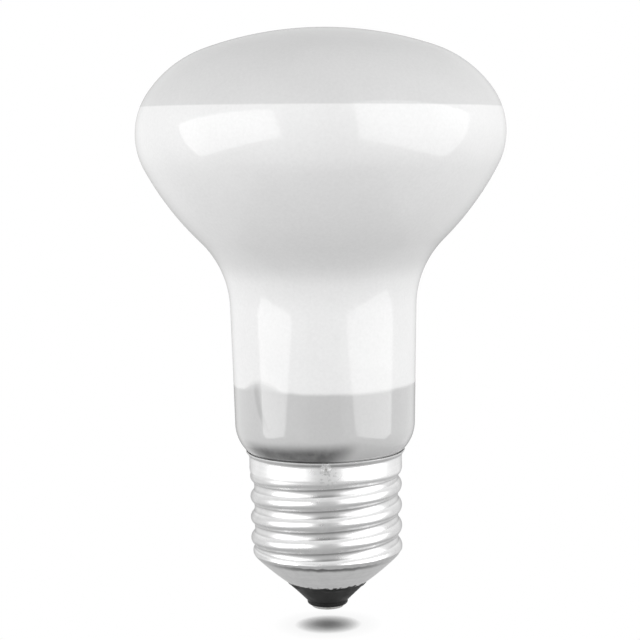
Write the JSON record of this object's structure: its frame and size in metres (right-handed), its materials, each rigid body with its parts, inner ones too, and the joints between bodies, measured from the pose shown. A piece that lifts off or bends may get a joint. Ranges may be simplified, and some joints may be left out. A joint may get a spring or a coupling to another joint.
{
  "type": "reflector bulb",
  "caption": "Reflector lamp: mushroom-shaped glass bulb with silvered flank, frosted crown and tapered neck, cemented into an Edison screw cap with an insulated centre contact.",
  "frame": {"origin": "centre of the flat on the tip solder, the lowest point of the centre contact", "axes": "+Z along the lamp's axis from the contact to the crown, -Y the front, where the side lead is soldered to the rim"},
  "size_m": [0.063, 0.063, 0.1004],
  "materials": {
    "coated_glass": "glossy glass over a matt white crown and a silvered flank",
    "cap_aluminium": "bright rolled sheet",
    "cement": "matt cured resin cement",
    "black_glass": "dark pressed glass, dull gloss",
    "contact_brass": "tinned sheet",
    "solder": "dull grey drop",
    "lead_wire": "drawn wire"
  },
  "bodies": {
    "root": {"glass_envelope": "coated_glass", "cap_shell": "cap_aluminium", "capping_cement": "cement", "cap_insulator": "black_glass", "contact_eyelet": "contact_brass", "tip_solder": "solder", "centre_lead_wire": "lead_wire", "side_lead_wire": "lead_wire", "rim_solder": "solder"}
  },
  "joints": []
}
